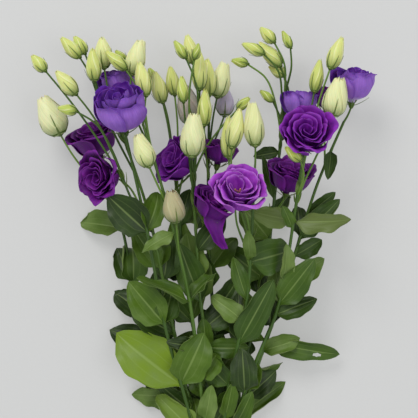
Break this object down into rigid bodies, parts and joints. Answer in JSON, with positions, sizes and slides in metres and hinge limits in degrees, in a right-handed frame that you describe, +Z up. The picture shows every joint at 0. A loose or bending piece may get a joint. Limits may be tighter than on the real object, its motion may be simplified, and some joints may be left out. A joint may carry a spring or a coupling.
{
  "type": "lisianthus bunch",
  "caption": "Bunch of cut lisianthus lying down, with violet double blooms, cream and green buds and broad leafy stems held by one plain band",
  "frame": {"origin": "on the surface, under the middle of the band that holds the stems", "axes": "+Y along the bunch from the band towards the flowers, +Z up from the surface, +X to the right seen from above with the flowers at the top"},
  "size_m": [0.3903, 0.6632, 0.1496],
  "materials": {
    "leaf_green": "waxy, satin",
    "violet_light": "soft, velvety",
    "violet_bright": "soft, velvety",
    "violet_mid": "soft, velvety",
    "violet_dark": "soft, velvety",
    "band_rubber": "matte"
  },
  "bodies": {
    "root": {"band": "band_rubber", "stem_01": "leaf_green", "stem_02": "leaf_green", "stem_03": "leaf_green", "stem_04": "leaf_green", "stem_05": "leaf_green", "stem_06": "leaf_green", "stem_07": "leaf_green", "stem_08": "leaf_green", "stem_09": "leaf_green", "stem_10": "leaf_green", "stem_11": "leaf_green", "flower_01": "violet_dark", "flower_02": "violet_light", "flower_03": "violet_light", "flower_04": "violet_dark", "flower_05": "violet_mid", "flower_06": "violet_dark", "flower_07": "violet_dark", "flower_08": "violet_bright", "flower_09": "violet_dark", "flower_10": "violet_light", "flower_11": "violet_light", "flower_12": "violet_dark", "flower_13": "violet_mid"}
  },
  "joints": []
}
